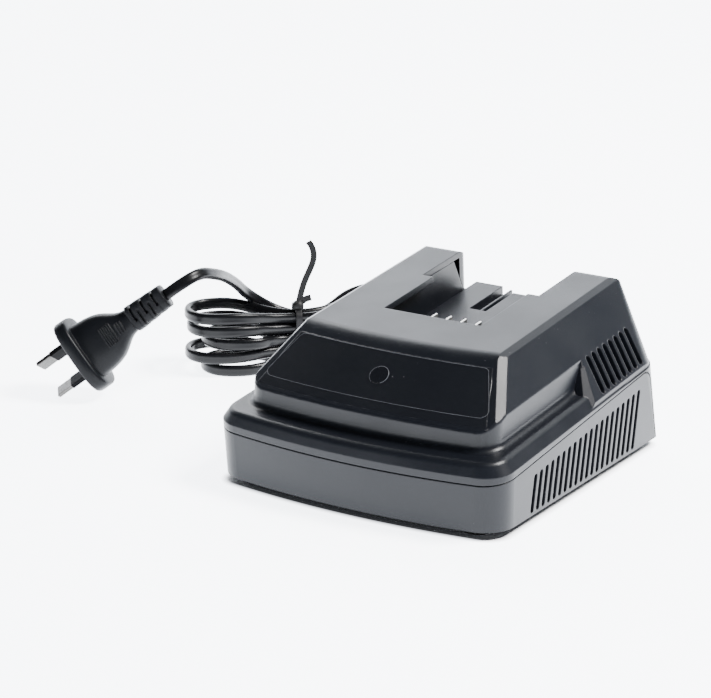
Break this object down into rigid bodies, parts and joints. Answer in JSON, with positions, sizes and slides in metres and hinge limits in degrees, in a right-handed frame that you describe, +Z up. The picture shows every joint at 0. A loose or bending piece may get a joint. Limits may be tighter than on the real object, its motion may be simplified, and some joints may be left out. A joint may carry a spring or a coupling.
{
  "type": "battery charger",
  "caption": "Tabletop battery charger with a slanted front panel, an open slide-in battery bay, side vents and a mains lead tied in a hank.",
  "frame": {"origin": "middle of the housing's footprint, on the surface that the feet stand on", "axes": "+Z up, -Y towards the slanted front with the indicator, +X to the right seen from the front"},
  "size_m": [0.2552, 0.2057, 0.0698],
  "materials": {
    "shell": "satin, finely textured charcoal",
    "overlay": "semi-gloss dark overlay",
    "window": "translucent smoke",
    "lamp": "milky",
    "tray": "satin charcoal",
    "black_plastic": "matte black",
    "blade_metal": "nickel plated",
    "board": "brown laminate",
    "screw_steel": "zinc plated",
    "ferrite": "dark grey ceramic",
    "winding": "yellow tape",
    "capacitor": "shrink sleeve",
    "heatsink": "extruded",
    "copper_wire": "enamelled winding",
    "fuse_glass": "glass tube with end caps",
    "foot_rubber": "matte",
    "cord": "satin black sheath",
    "plug": "satin black moulding",
    "pin_metal": "plated",
    "wire": "insulated",
    "terminal": "green"
  },
  "bodies": {
    "root": {"lower_shell": "shell", "upper_shell": "shell", "front_panel": "overlay", "indicator_lens": "window", "indicator_lamp": "lamp", "dock_tray": "tray", "terminal_block": "black_plastic", "contact_blades": "blade_metal", "circuit_board": "board", "board_screws": "screw_steel", "transformer_core": "ferrite", "transformer_winding": "winding", "input_capacitor": "capacitor", "output_capacitors": "capacitor", "heat_sink": "heatsink", "power_transistors": "black_plastic", "mains_choke": "copper_wire", "fuse": "fuse_glass", "housing_screws": "screw_steel", "rubber_feet": "foot_rubber", "cord_gland": "plug", "mains_terminal": "terminal", "mains_leads": "wire", "output_leads": "wire", "plug_body": "plug", "plug_relief": "plug", "plug_pins": "pin_metal", "pin_sleeves": "black_plastic", "cord_lead": "cord", "cord_hank": "cord", "cord_exit": "cord", "cord_tie": "black_plastic"}
  },
  "joints": []
}
